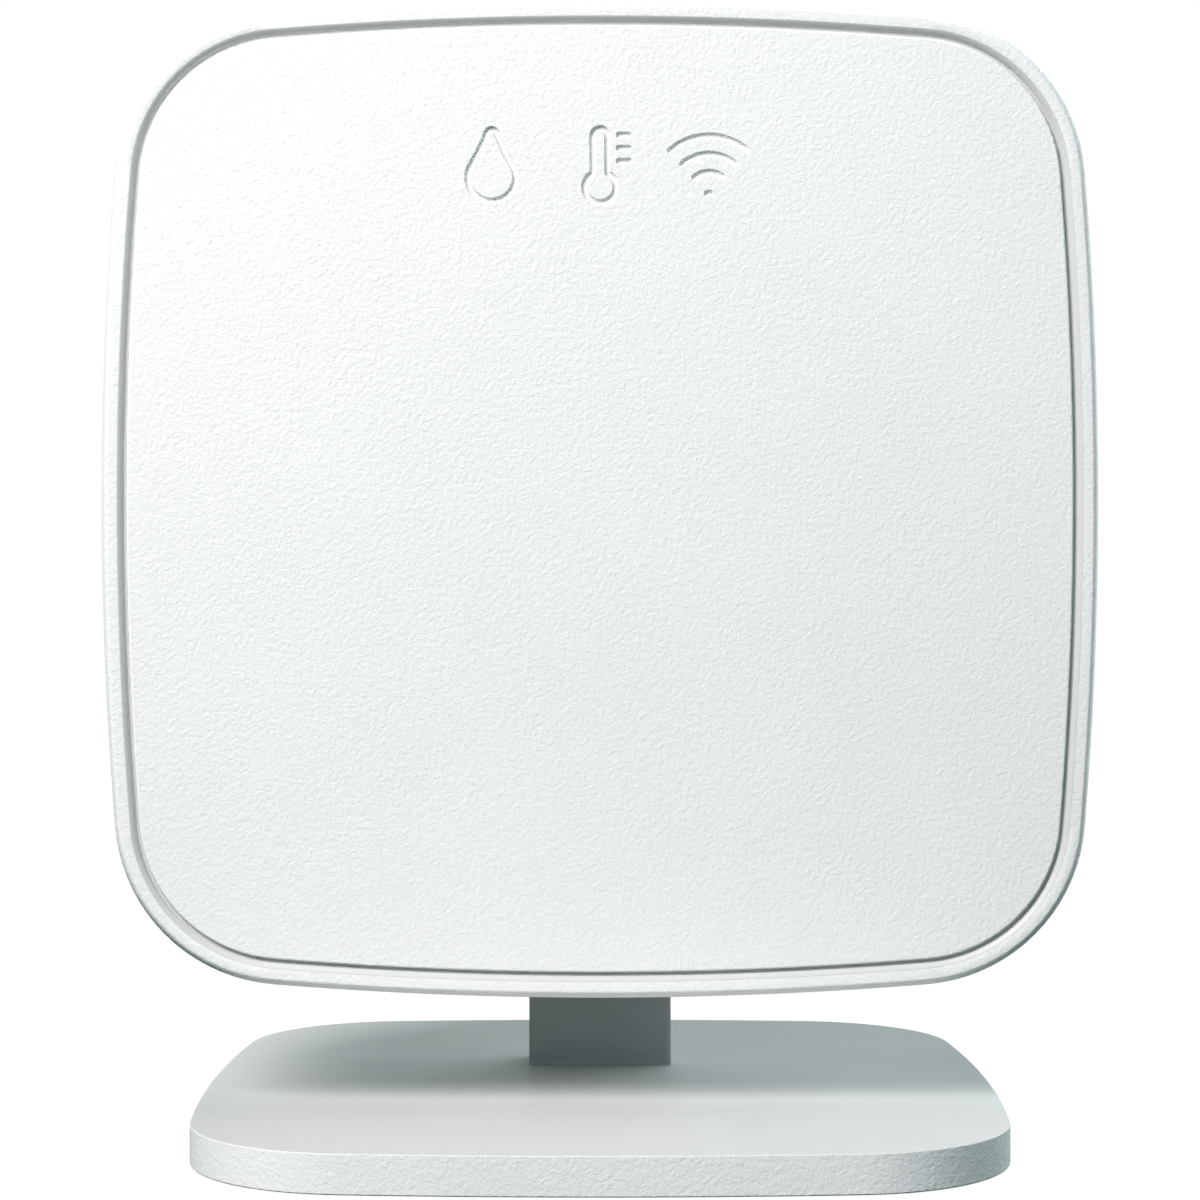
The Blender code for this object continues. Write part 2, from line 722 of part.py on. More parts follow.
def build_door(group, white, foam):
    """Door with two hinge pins at its lower edge and a latch finger at the top."""
    front = REAR_Y - DOOR_THICK
    low = CENTRE_Z + BAY_LOW - DOOR_EDGE
    top = CENTRE_Z + BAY_TOP + DOOR_EDGE
    half = BAY_HALF + DOOR_EDGE
    door = piece("battery_door", white, group, block((-half, half), (front, REAR_Y), (low, top)))
    pin_z = CENTRE_Z + DOOR_PIN_Z
    arm = 0.0018
    inset = 0.00025
    for x in (-DOOR_PIN_X, DOOR_PIN_X):
        join(door, block((x - arm, x + arm), (front + inset, REAR_Y - inset), (pin_z, low + TOUCH)))
        start = (x - DOOR_PIN_HALF, DOOR_PIN_Y, pin_z)
        join(door, rod(start, (1, 0, 0), 2 * DOOR_PIN_HALF, DOOR_PIN_RADIUS, 16))
    finger_top = CENTRE_Z + BAY_TOP - FIT
    join(door, block((-0.0040, 0.0040), (front - 0.0020, front + TOUCH), (finger_top - 0.0010, finger_top)))
    grip = []
    for row in range(3):
        z = top - 0.0030 - row * 0.0014
        grip.append(block((-0.0060, 0.0060), (REAR_Y - 0.0004, REAR_Y + WALL), (z, z + 0.0007)))
    carve(door, *grip)
    foam_depth = (front - TOUCH - 0.0003, front - TOUCH)
    foam_height = (CENTRE_Z + 0.0115, CENTRE_Z + 0.0150)
    piece("door_foam", foam, group, block((-0.0150, 0.0150), foam_depth, foam_height))


# ---------------------------------------------------------------- whole


def main():
    for old in list(bpy.data.objects):
        bpy.data.objects.remove(old, do_unlink=True)
    white = material("white_plastic", (0.86, 0.87, 0.87), 0.55)
    looks = {
        "chip": material("chip_black", (0.02, 0.02, 0.022), 0.5),
        "green": material("board_green", (0.02, 0.16, 0.07), 0.45),
        "steel": material("steel", (0.62, 0.62, 0.63), 0.3, 1.0),
        "nickel": material("nickel", (0.70, 0.68, 0.64), 0.28, 1.0),
        "grey": material("grey_plastic", (0.30, 0.31, 0.32), 0.5),
        "foam": material("black_foam", (0.03, 0.03, 0.03), 0.95),
        "lens": material("clear_plastic", (0.85, 0.92, 0.90), 0.08, 0.0, 0.4),
        "cell": material("cell_sleeve", (0.10, 0.12, 0.16), 0.35),
    }
    rubber = material("grey_rubber", (0.08, 0.08, 0.085), 0.9)

    stand = group_at("stand", (0, 0, 0))
    sensor = group_at("sensor", (0, 0, RAIL_TOP))
    door = group_at("door_hinge", (0, DOOR_PIN_Y, CENTRE_Z + DOOR_PIN_Z), sensor)
    button = group_at("button_axis", (BUTTON_X, REAR_Y, CENTRE_Z + BUTTON_Z), sensor)
    plunger = group_at("plunger_axis", (BUTTON_X, PLUNGER_TIP, CENTRE_Z + BUTTON_Z), sensor)

    build_stand(stand, white, rubber, looks["steel"])
    build_cover(sensor, white)
    build_housing(sensor, white)
    build_board(sensor, looks["green"], looks["steel"])
    build_chips(sensor, looks)
    build_switch(sensor, plunger, looks)
    build_button(button, white)
    build_battery(sensor, looks)
    build_door(door, white, looks["foam"])


main()
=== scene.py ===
import math

import bmesh
import bpy
from mathutils import Matrix, Vector


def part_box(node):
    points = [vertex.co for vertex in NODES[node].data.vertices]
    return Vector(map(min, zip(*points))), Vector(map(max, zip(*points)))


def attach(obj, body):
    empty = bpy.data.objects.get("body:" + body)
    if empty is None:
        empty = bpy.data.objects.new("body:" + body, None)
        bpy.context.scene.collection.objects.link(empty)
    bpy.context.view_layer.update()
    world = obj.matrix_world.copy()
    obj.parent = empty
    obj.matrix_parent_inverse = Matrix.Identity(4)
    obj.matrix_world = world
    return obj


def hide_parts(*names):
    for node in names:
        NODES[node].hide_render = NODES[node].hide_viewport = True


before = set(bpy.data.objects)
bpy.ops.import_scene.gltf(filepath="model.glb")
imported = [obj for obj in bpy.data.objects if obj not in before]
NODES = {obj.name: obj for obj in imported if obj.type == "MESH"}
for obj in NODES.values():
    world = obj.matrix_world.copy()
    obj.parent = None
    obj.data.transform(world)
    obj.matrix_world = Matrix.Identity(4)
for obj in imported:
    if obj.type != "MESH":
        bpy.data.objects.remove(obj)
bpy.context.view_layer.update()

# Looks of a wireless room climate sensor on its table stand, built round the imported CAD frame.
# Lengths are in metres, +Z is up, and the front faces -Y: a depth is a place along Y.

MM = 0.001

# Outlines, from the frame's boxes
COVER_LOW, COVER_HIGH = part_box("front_cover")
HOUSING_LOW, HOUSING_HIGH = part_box("rear_housing")
BASE_LOW, BASE_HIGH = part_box("stand_base")
BUTTON_LOW, BUTTON_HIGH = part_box("pairing_button")
PIPE_LOW, PIPE_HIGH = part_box("light_pipe")
PAD_LOW, PAD_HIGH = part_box("base_pad")
NECK_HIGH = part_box("stand_neck")[1]
CENTRE_Z = (COVER_LOW.z + COVER_HIGH.z) / 2
FRONT_Y = HOUSING_LOW.y
REAR_Y = HOUSING_HIGH.y
COVER_HALF = (COVER_HIGH.x - COVER_LOW.x) / 2
CROWN = (HOUSING_HIGH.x - HOUSING_LOW.x) / 2 - COVER_HALF  # widest line, outwards from the cover's edge
SIDE_BOW = 1.7 * MM
COVER_CORNER = 8.85 * MM
BASE_BOW = 1.78 * MM
BASE_CORNER = 10.47 * MM
WALL = 1.6 * MM
FIT = 0.3 * MM  # clearance between pieces that meet
LAP = 0.1 * MM  # how far a joined shape runs into its neighbour
BACKWARDS = (0, 1, 0)

# The camera stands level, square to the front, a little above the middle of the neck
CAMERA_DISTANCE = 178.8 * MM
CAMERA_HEIGHT = 33.64 * MM
CAMERA_LENS = 82.77
CAMERA_SENSOR = 36.0


# ---------------------------------------------------------------- outlines and shapes


def soft_square(half, bow, corner, grow=0.0, side_steps=12, corner_steps=18):
    """A square with bowed sides and round corners, anticlockwise, moved outwards by grow."""
    side_radius = (half * half + bow * bow) / (2 * bow)
    reach = side_radius - half
    c = (-reach + math.sqrt(2 * (side_radius - corner) ** 2 - reach * reach)) / 2
    turn = math.atan2(c, c + reach)
    arcs = []
    for step in range(-side_steps, side_steps + 1):
        arcs.append((-reach, 0.0, side_radius, turn * step / side_steps))
    for step in range(1, corner_steps):
        arcs.append((c, c, corner, turn + (math.pi / 2 - 2 * turn) * step / corner_steps))
    points = []
    for quarter in range(4):
        spin = Matrix.Rotation(quarter * math.pi / 2, 2)
        for x, y, radius, angle in arcs:
            edge = Vector((math.cos(angle), math.sin(angle))) * (radius + grow)
            points.append(spin @ (Vector((x, y)) + edge))
    return points


def front_ring(grow, y):
    """The cover's outline moved outwards by grow, at depth y."""
    return [Vector((p.x, y, CENTRE_Z + p.y)) for p in soft_square(COVER_HALF, SIDE_BOW, COVER_CORNER, grow)]


def base_ring(grow, z):
    """The base's outline moved outwards by grow, at height z."""
    half = (BASE_HIGH.x - BASE_LOW.x) / 2
    return [Vector((p.x, p.y, z)) for p in soft_square(half, BASE_BOW, BASE_CORNER, grow)]


def arc(centre, radius, start, end, steps):
    """Points of an arc in a section plane: angles in degrees, radius a number or a pair."""
    wide, deep = radius if isinstance(radius, tuple) else (radius, radius)
    points = []
    for step in range(steps + 1):
        angle = math.radians(start + (end - start) * step / steps)
        points.append((centre[0] + wide * math.cos(angle), centre[1] + deep * math.sin(angle)))
    return points


def round_rectangle(low, high, radius, steps=6):
    """Anticlockwise points of a rectangle with round corners."""
    corners = [
        (high[0] - radius, low[1] + radius, -90),
        (high[0] - radius, high[1] - radius, 0),
        (low[0] + radius, high[1] - radius, 90),
        (low[0] + radius, low[1] + radius, 180),
    ]
    points = []
    for x, y, start in corners:
        points += arc((x, y), radius, start, start + 90, steps)
    return points


def loft(rings):
    """A closed solid through rings of points, with flat ends."""
    def add(mesh):
        rows = [[mesh.verts.new(point) for point in ring] for ring in rings]
        for low, high in zip(rows, rows[1:]):
            for i, vert in enumerate(low):
                after = (i + 1) % len(low)
                mesh.faces.new((vert, low[after], high[after], high[i]))
        mesh.faces.new(rows[0][::-1])
        mesh.faces.new(rows[-1])

    return add


def turned(start, along, profile, sides=48):
    """A solid of revolution: profile is (distance along the axis, radius), from start."""
    turn = Vector(along).normalized().to_track_quat("Z", "Y").to_matrix().to_4x4()
    place = Matrix.Translation(Vector(start)) @ turn
    rings = []
    for distance, radius in profile:
        ring = []
        for side in range(sides):
            angle = 2 * math.pi * side / sides
            ring.append(place @ Vector((radius * math.cos(angle), radius * math.sin(angle), distance)))
        rings.append(ring)
    return loft(rings)


def block(x, y, z):
    corners = [(x[0], y[0]), (x[1], y[0]), (x[1], y[1]), (x[0], y[1])]
    return loft([[Vector((a, b, height)) for a, b in corners] for height in z])


def slab(outline, y, edge=0.0):
    """An outline of (x, z) points extruded between two depths, with its rear edge chamfered."""
    rings = [[Vector((x, y[0], z)) for x, z in outline]]
    if not edge:
        return loft(rings + [[Vector((x, y[1], z)) for x, z in outline]])
    rings.append([Vector((x, y[1] - edge, z)) for x, z in outline])
    cx = sum(x for x, _ in outline) / len(outline)
    cz = sum(z for _, z in outline) / len(outline)
    narrower = 1 - edge / (max(x for x, _ in outline) - cx)
    lower = 1 - edge / (max(z for _, z in outline) - cz)
    rings.append([Vector((cx + (x - cx) * narrower, y[1], cz + (z - cz) * lower)) for x, z in outline])
    return loft(rings)


def new_mesh(name, shapes):
    mesh = bmesh.new()
    for add in shapes:
        add(mesh)
    bmesh.ops.recalc_face_normals(mesh, faces=mesh.faces)
    data = bpy.data.meshes.new(name)
    mesh.to_mesh(data)
    mesh.free()
    return data


def new_object(name, data):
    made = bpy.data.objects.new(name, data)
    bpy.context.scene.collection.objects.link(made)
    return made


def combine(target, operation, shapes):
    """Joins shapes to the target, or cuts them out of it, at once."""
    tool = new_object("tool", new_mesh("tool", shapes))
    boolean = target.modifiers.new("Boolean", "BOOLEAN")
    boolean.operation = operation
    boolean.object = tool
    boolean.solver = "MANIFOLD"
    graph = bpy.context.evaluated_depsgraph_get()
    mesh = bpy.data.meshes.new_from_object(target.evaluated_get(graph))
    target.modifiers.clear()
    old = target.data
    target.data = mesh
    bpy.data.meshes.remove(old)
    bpy.data.objects.remove(tool)


def join(target, *shapes):
    combine(target, "UNION", shapes)


def cut(target, *shapes):
    combine(target, "DIFFERENCE", shapes)


def smooth(target, angle=32, bevel=0.0, segments=2):
    """Smooth shading with true flats, and a small round on every edge if bevel is given."""
    target.data.shade_smooth()
    target.data.set_sharp_from_angle(angle=math.radians(angle))
    if bevel:
        rounding = target.modifiers.new("Bevel", "BEVEL")
        rounding.width = bevel
        rounding.segments = segments
        rounding.limit_method = "ANGLE"
        rounding.angle_limit = math.radians(40)
        rounding.use_clamp_overlap = True
        rounding.harden_normals = False
    weighted = target.modifiers.new("Weighted normals", "WEIGHTED_NORMAL")
    weighted.keep_sharp = True


def piece(name, body, slot, look, *shapes):
    made = new_object(name, new_mesh(name, shapes))
    made.data.materials.append(look)
    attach(made, body)
    return made


# ---------------------------------------------------------------- materials


class Shader:
    """A material being made: short ways to add and link nodes."""

    def __init__(self, name, colour, roughness, metallic=0.0):
        self.material = bpy.data.materials.new(name)
        self.material.use_nodes = True
        self.tree = self.material.node_tree
        self.surface = self.tree.nodes["Principled BSDF"]
        self.surface.inputs["Base Color"].default_value = (*colour, 1.0)
        self.surface.inputs["Roughness"].default_value = roughness
        self.surface.inputs["Metallic"].default_value = metallic
        self.place = self.tree.nodes.new("ShaderNodeTexCoord").outputs["Object"]
        self.bump = None

    def add(self, kind, **settings):
        node = self.tree.nodes.new(kind)
        for name, value in settings.items():
            setattr(node, name, value)
        return node

    def link(self, source, target):
        self.tree.links.new(source, target)

    def noise(self, scale, detail=2.0, rough=0.5, distortion=0.0):
        node = self.add("ShaderNodeTexNoise")
        self.link(self.place, node.inputs["Vector"])
        node.inputs["Scale"].default_value = scale
        node.inputs["Detail"].default_value = detail
        node.inputs["Roughness"].default_value = rough
        node.inputs["Distortion"].default_value = distortion
        return node.outputs["Fac"]

    def cells(self, scale, feature="F1"):
        node = self.add("ShaderNodeTexVoronoi", feature=feature)
        self.link(self.place, node.inputs["Vector"])
        node.inputs["Scale"].default_value = scale
        return node.outputs["Distance"]

    def ramp(self, source, stops):
        node = self.add("ShaderNodeValToRGB")
        self.link(source, node.inputs["Fac"])
        elements = node.color_ramp.elements
        while len(elements) < len(stops):
            elements.new(0.5)
        for element, (spot, colour) in zip(elements, stops):
            element.position = spot
            element.color = (*colour, 1.0)
        return node.outputs["Color"]

    def spread(self, source, low, high):
        node = self.add("ShaderNodeMapRange")
        self.link(source, node.inputs["Value"])
        node.inputs["To Min"].default_value = low
        node.inputs["To Max"].default_value = high
        return node.outputs["Result"]

    def colour(self, source):
        self.link(source, self.surface.inputs["Base Color"])

    def roughness(self, source):
        self.link(source, self.surface.inputs["Roughness"])

    def relief(self, height, depth):
        """Adds a bump of that depth in metres, on top of any earlier one."""
        node = self.add("ShaderNodeBump")
        node.inputs["Strength"].default_value = 1.0
        node.inputs["Distance"].default_value = depth
        self.link(height, node.inputs["Height"])
        if self.bump:
            self.link(self.bump, node.inputs["Normal"])
        self.bump = node.outputs["Normal"]
        self.link(self.bump, self.surface.inputs["Normal"])


def tint(colour, by):
    return tuple(min(1.0, channel * by) for channel in colour)


def moulded(name, colour, roughness, grain=0.0, grain_scale=3300.0):
    """Injection-moulded plastic: faintly cloudy, slightly uneven in gloss, with or without a grain."""
    shader = Shader(name, colour, roughness)
    clouds = shader.noise(90.0, 3.0)
    shader.colour(shader.ramp(clouds, [(0.3, tint(colour, 0.985)), (0.7, tint(colour, 1.01))]))
    shader.roughness(shader.spread(shader.noise(700.0, 3.0), roughness - 0.05, roughness + 0.05))
    shader.surface.inputs["IOR"].default_value = 1.46
    if grain:
        wrinkles = shader.noise(grain_scale, 2.5, 0.55, 0.6)
        shader.relief(wrinkles, grain)
    return shader.material


def plated(name, colour, roughness, scale=1500.0):
    """Plated or bare metal with fine uneven polish."""
    shader = Shader(name, colour, roughness, 1.0)
    mottle = shader.noise(scale, 4.0)
    shader.colour(shader.ramp(mottle, [(0.35, tint(colour, 0.86)), (0.7, tint(colour, 1.05))]))
    shader.roughness(shader.spread(mottle, roughness - 0.08, roughness + 0.12))
    shader.relief(mottle, 0.002 * MM)
    return shader.material


def solder_mask(name):
    """Green board lacquer, paler over the copper tracks."""
    shader = Shader(name, (0.02, 0.16, 0.07), 0.35)
    tracks = shader.cells(420.0, "DISTANCE_TO_EDGE")
    greens = [(0.0, (0.04, 0.27, 0.12)), (0.05, (0.035, 0.24, 0.10)), (0.08, (0.015, 0.13, 0.055))]
    shader.colour(shader.ramp(tracks, greens))
    shader.roughness(shader.spread(shader.noise(2500.0), 0.28, 0.42))
    shader.relief(tracks, 0.01 * MM)
    return shader.material


def open_foam(name):
    shader = Shader(name, (0.03, 0.03, 0.032), 0.95)
    pores = shader.cells(3800.0)
    shader.colour(shader.ramp(pores, [(0.1, (0.008, 0.008, 0.009)), (0.6, (0.05, 0.05, 0.053))]))
    shader.relief(pores, 0.12 * MM)
    return shader.material


def pad_rubber(name):
    """Soft non-slip rubber with a fine leathery skin."""
    shader = Shader(name, (0.075, 0.077, 0.08), 0.85)
    skin = shader.cells(1400.0)
    shader.colour(shader.ramp(skin, [(0.1, (0.05, 0.051, 0.054)), (0.7, (0.10, 0.102, 0.106))]))
    shader.roughness(shader.spread(shader.noise(400.0, 4.0), 0.75, 0.95))
    shader.relief(skin, 0.05 * MM)
    return shader.material


def clear_plastic(name):
    shader = Shader(name, (0.90, 0.96, 0.95), 0.12)
    shader.surface.inputs["Transmission Weight"].default_value = 0.75
    shader.surface.inputs["IOR"].default_value = 1.49
    shader.roughness(shader.spread(shader.noise(900.0, 3.0), 0.08, 0.22))
    return shader.material


def chip_epoxy(name):
    shader = Shader(name, (0.018, 0.018, 0.02), 0.55)
    grit = shader.noise(9000.0, 2.0)
    shader.colour(shader.ramp(grit, [(0.3, (0.014, 0.014, 0.016)), (0.75, (0.032, 0.032, 0.035))]))
    shader.relief(grit, 0.01 * MM)
    return shader.material


def cell_sleeve(name):
    """Dark glossy shrink sleeve of a battery, slightly rippled."""
    shader = Shader(name, (0.04, 0.05, 0.07), 0.3)
    shader.surface.inputs["Coat Weight"].default_value = 0.4
    ripple = shader.noise(500.0, 3.0)
    shader.colour(shader.ramp(ripple, [(0.3, (0.035, 0.042, 0.06)), (0.7, (0.055, 0.066, 0.09))]))
    shader.roughness(shader.spread(ripple, 0.22, 0.38))
    shader.relief(ripple, 0.01 * MM)
    return shader.material


WHITE = (0.83, 0.84, 0.84)
LOOKS = {
    "grained": moulded("grained_white", WHITE, 0.50, 0.05 * MM),
    # smooth: ungrained plastic whose darker colour is painted shade, in the rim's groove round the cover and
    # on the door arrow's floors
    "smooth": moulded("smooth_white_painted_shade", tint(WHITE, 0.72), 0.45),
    # satin: a darker tone than the white, painted shade on the base's top and underside; the button cap
    # shares it
    "satin": moulded("satin_white_painted_shade", tint(WHITE, 0.70), 0.50, 0.0008 * MM, 9000.0),
    # neck: the grey-green colour is painted shade, the shade under the housing put into what is white
    # plastic
    "neck": moulded("neck_grey_painted_shade", (0.38, 0.415, 0.415), 0.55, 0.0012 * MM, 9000.0),
    "steel": plated("zinc_steel", (0.62, 0.62, 0.63), 0.3),
    "nickel": plated("nickel", (0.72, 0.70, 0.66), 0.25),
    "board": solder_mask("solder_mask"),
    "chip": chip_epoxy("chip_epoxy"),
    "foam": open_foam("open_foam"),
    "rubber": pad_rubber("pad_rubber"),
    "clear": clear_plastic("clear_plastic"),
    "grey": moulded("grey_acetal", (0.28, 0.29, 0.30), 0.4),
    "sleeve": cell_sleeve("cell_sleeve"),
}


# ---------------------------------------------------------------- front cover


GROOVE_RADIUS = 0.21 * MM
GROOVE_SIDES = 14
BALL_END = ((0.5, 0.866), (0.87, 0.5))  # rings of a ball end: how far out and how wide, over the radius


def groove_stations(path, closed):
    """(spot, direction, sideways) at each point of the path."""
    face = Vector(BACKWARDS)
    way = [(b - a).normalized() for a, b in zip(path, path[1:])]
    stations = []
    for i, spot in enumerate(path):
        before = way[i - 1] if closed or i else way[0]
        after = way[i % len(way)] if closed or i < len(way) else way[-1]
        ahead = (before + after).normalized()
        stations.append((spot, ahead, ahead.cross(face)))
    return stations


def capsule_line(points):
    """A round groove cutter along points of the cover's face, closed or with ball ends."""

    def add(mesh):
        path = [Vector((x, FRONT_Y, z)) for x, z in points]
        closed = (path[0] - path[-1]).length < 0.0001 * MM
        stations = groove_stations(path, closed)
        spots = [(spot, side, 1.0) for spot, _, side in stations]
        if closed:
            spots.pop()
        else:
            for (spot, ahead, side), sign in ((stations[0], -1), (stations[-1], 1)):
                cap = [(spot + sign * ahead * GROOVE_RADIUS * push, side, size) for push, size in BALL_END]
                spots = cap[::-1] + spots if sign < 0 else spots + cap
        face = Vector(BACKWARDS)
        rows = []
        for spot, side, size in spots:
            row = []
            for step in range(GROOVE_SIDES):
                angle = 2 * math.pi * (step + 0.5) / GROOVE_SIDES
                outwards = side * math.cos(angle) + face * math.sin(angle)
                row.append(mesh.verts.new(spot + outwards * GROOVE_RADIUS * size))
            rows.append(row)
        pairs = list(zip(rows, rows[1:]))
        if closed:
            pairs.append((rows[-1], rows[0]))
        for low, high in pairs:
            for i, vert in enumerate(low):
                after = (i + 1) % GROOVE_SIDES
                mesh.faces.new((vert, low[after], high[after], high[i]))
        if not closed:
            mesh.faces.new(rows[0][::-1])
            mesh.faces.new(rows[-1])

    return add


ICON_Z = CENTRE_Z + 20.3 * MM
ICON_PITCH = 6.6 * MM


def shifted(points, x):
    return [(x + a * MM, ICON_Z + b * MM) for a, b in points]


def thermometer(x):
    """Bulb and stem in one outline, with three marks beside it."""
    bulb = arc((0.0, -1.35), 0.95, 118, 422, 26)
    stem = arc((0.0, 1.75), 0.45, 0, 180, 10)
    outline = bulb + stem
    outline.append(outline[0])
    marks = [[(1.15, z), (1.75, z)] for z in (0.2, 1.0, 1.8)]
    return [shifted(outline, x)] + [shifted(mark, x) for mark in marks]


def droplet(x):
    """A drop: a round belly whose flanks run up to a small round tip."""
    belly = arc((0.0, -0.75), 1.45, 152, 388, 30)
    tip = arc((0.0, 1.85), 0.30, 25, 155, 8)
    rise = []
    for step in range(1, 9):
        t = step / 9
        weights = ((1 - t) ** 2, 2 * t * (1 - t), t * t)
        spots = (belly[-1], (0.66, 0.95), tip[0])
        rise.append(tuple(sum(w * spot[axis] for w, spot in zip(weights, spots)) for axis in (0, 1)))
    fall = [(-px, pz) for px, pz in reversed(rise)]
    outline = belly + rise + tip + fall + [belly[0]]
    return [shifted(outline, x)]


def radio_waves(x):
    """A dot under three arcs."""
    lines = []
    for radius in (1.3, 2.4, 3.5):
        lines.append(shifted(arc((0.0, -1.75), radius, 48, 132, 18), x))
    lines.append(shifted([(-0.1, -1.75), (0.1, -1.75)], x))
    return lines


COVER_THICK = 1.6 * MM
COVER_EDGE = 0.16 * MM
SKIRT_OUTER = 1.2 * MM  # inwards from the cover's edge
SKIRT_INNER = 2.2 * MM
SKIRT_DEPTH = 0.6 * MM
HOOK_DEPTH = 4.3 * MM
HOOK_HALF = 3.0 * MM
HOOK_PLACES = (7.0 * MM, -7.5 * MM)  # above the cover's centre
CATCH_DEPTH = 1.2 * MM


def snap_hooks(root):
    """Arms of the four snap hooks, and the catches at their ends."""
    tip = root + HOOK_DEPTH
    arms = []
    catches = []
    for side in (-1, 1):
        arm = sorted((side * (COVER_HALF - SKIRT_INNER), side * (COVER_HALF - 1.25 * MM)))
        catch = sorted((side * (COVER_HALF - 2.1 * MM), side * (COVER_HALF - 0.5 * MM)))
        for place in HOOK_PLACES:
            height = (CENTRE_Z + place - HOOK_HALF, CENTRE_Z + place + HOOK_HALF)
            arms.append(block(arm, (root - LAP, tip), height))
            catches.append(block(catch, (tip - CATCH_DEPTH, tip - LAP), height))
    return arms, catches


def build_cover():
    """Plate with a round edge, a low skirt and snap hooks behind it, and three engraved pictures."""
    back = FRONT_Y + COVER_THICK
    root = back + SKIRT_DEPTH
    section = [(-SKIRT_INNER, back), (-SKIRT_INNER, root), (-SKIRT_OUTER, root), (-SKIRT_OUTER, back)]
    section.append((-0.05 * MM, back))
    section += arc((-COVER_EDGE, FRONT_Y + COVER_EDGE), COVER_EDGE, 0, -90, 6)
    plate = loft([front_ring(grow, y) for grow, y in section])
    cover = piece("cover_plate", "sensor", "white_plastic", LOOKS["grained"], plate)
    arms, catches = snap_hooks(root)
    join(cover, *arms)
    join(cover, *catches)
    for line in droplet(-ICON_PITCH) + thermometer(0.0) + radio_waves(ICON_PITCH):
        cut(cover, capsule_line(line))
    smooth(cover)
    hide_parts("front_cover")


# ---------------------------------------------------------------- rear housing

BAY_HALF = 24.0 * MM
BAY_LOW = CENTRE_Z + 1.6 * MM
BAY_TOP = CENTRE_Z + 24.8 * MM
BAY_FRONT = -7.9 * MM
BAY_WALL = 1.8 * MM
DOOR_EDGE = 0.7 * MM
DOOR_THICK = 1.3 * MM
DOOR_CORNER = 1.6 * MM
PIN_X = 15.0 * MM
PIN_HALF = 3.2 * MM
PIN_POCKET_FRONT = 3.6 * MM
PIN_POCKET_LOW = CENTRE_Z - 0.6 * MM
RAIL_HEAD_HALF = 4.5 * MM
RAIL_WEB_HALF = 2.5 * MM
RAIL_HEAD = (2.2 * MM, 3.4 * MM)
RAIL_LOW = 15.0 * MM
RAIL_TOP = 35.5 * MM
CHANNEL_WALL = 1.5 * MM
CHANNEL_FLOOR = RAIL_HEAD[0] - CHANNEL_WALL
CHANNEL_TOP = RAIL_TOP + FIT
FLOOR_Y = REAR_Y - WALL
BOARD_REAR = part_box("circuit_board")[1].y
SCREWS = ("board_screw_left", "board_screw_right", "board_screw_top")
BOSS_RADIUS = 2.5 * MM
PILOT_RADIUS = 0.95 * MM
BUTTON_RADIUS = 2.6 * MM
PIPE_RADIUS = 1.0 * MM
VENT_ROWS = 6
VENT_COLUMNS = 5


# The rim's section, from the gap round the cover over a shallow groove to the flat land, in millimetres:
# (outwards from the cover's edge, behind the front)
RIM_HOLLOW = (
    (0.05, 4.00),
    (0.05, 0.36),
    (0.20, 0.34),
    (0.27, 0.20),
    (0.38, 0.09),
    (0.50, 0.03),
    (0.57, 0.0),
)
LAND_OUTER = 1.12 * MM
CROWN_DEPTH = 3.0 * MM
REAR_ROUND = 2.0 * MM
REAR_TAPER = 0.3 * MM
WIDEST = CROWN - 0.17 * MM


def housing_section():
    """Offsets and depths from the inner floor forwards over the rim and back round the outside."""
    crown_centre = (LAND_OUTER, FRONT_Y + CROWN_DEPTH)
    rear_centre = (CROWN - REAR_TAPER - REAR_ROUND, REAR_Y - REAR_ROUND)
    profile = [(-0.3 * MM, FLOOR_Y)]
    profile += [(offset * MM, FRONT_Y + depth * MM) for offset, depth in RIM_HOLLOW]
    profile.append((LAND_OUTER, FRONT_Y))
    profile += arc(crown_centre, (WIDEST - LAND_OUTER, CROWN_DEPTH), -84, 0, 14)
    profile.append((CROWN, 0.0))
    profile += arc(rear_centre, REAR_ROUND, 0, 90, 8)
    return profile


def into_back(front):
    """Depths of a wall that runs from front into the housing's back."""
    return front, FLOOR_Y + LAP


def through_back(front):
    """Depths of a hollow that runs from front out through the housing's back."""
    return front, REAR_Y + WALL


def pin_pockets():
    """Backings of the two hinge pins of the door, and the pockets in them."""
    reach = PIN_HALF + FIT
    around = 1.0 * MM
    backings = []
    pockets = []
    for x in (-PIN_X, PIN_X):
        low, high = x - reach, x + reach
        across = (low - around, high + around)
        height = (PIN_POCKET_LOW - around, BAY_LOW)
        backings.append(block(across, into_back(PIN_POCKET_FRONT - around), height))
        mouth = round_rectangle((low, PIN_POCKET_LOW), (high, BAY_LOW), 0.5 * MM, 3)
        pockets.append(slab(mouth, through_back(PIN_POCKET_FRONT)))
    return backings, pockets


def screw_bosses():
    """Bosses for the board's screws, and their pilot holes."""
    start = BOARD_REAR + LAP
    bosses = []
    pilots = []
    for name in SCREWS:
        low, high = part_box(name)
        x, z = (low.x + high.x) / 2, (low.z + high.z) / 2
        foot = CHANNEL_FLOOR if name.endswith("top") else FLOOR_Y
        height = foot + LAP - start
        bosses.append(turned((x, start, z), BACKWARDS, [(0.0, BOSS_RADIUS), (height, BOSS_RADIUS)], 32))
        hole = [(0.0, PILOT_RADIUS), (7.0 * MM, PILOT_RADIUS)]
        pilots.append(turned((x, start - 1.0 * MM, z), BACKWARDS, hole, 24))
    return bosses, pilots


def thumb_dish():
    """Shallow cone that hollows the door's upper edge and the housing above it."""
    cone = [(-5.0 * MM, 0.5 * MM), (-4.0 * MM, 3.0 * MM), (1.0 * MM, 9.0 * MM)]
    return turned((0.0, REAR_Y + 4.0 * MM, BAY_TOP + 1.6 * MM), BACKWARDS, cone, 40)


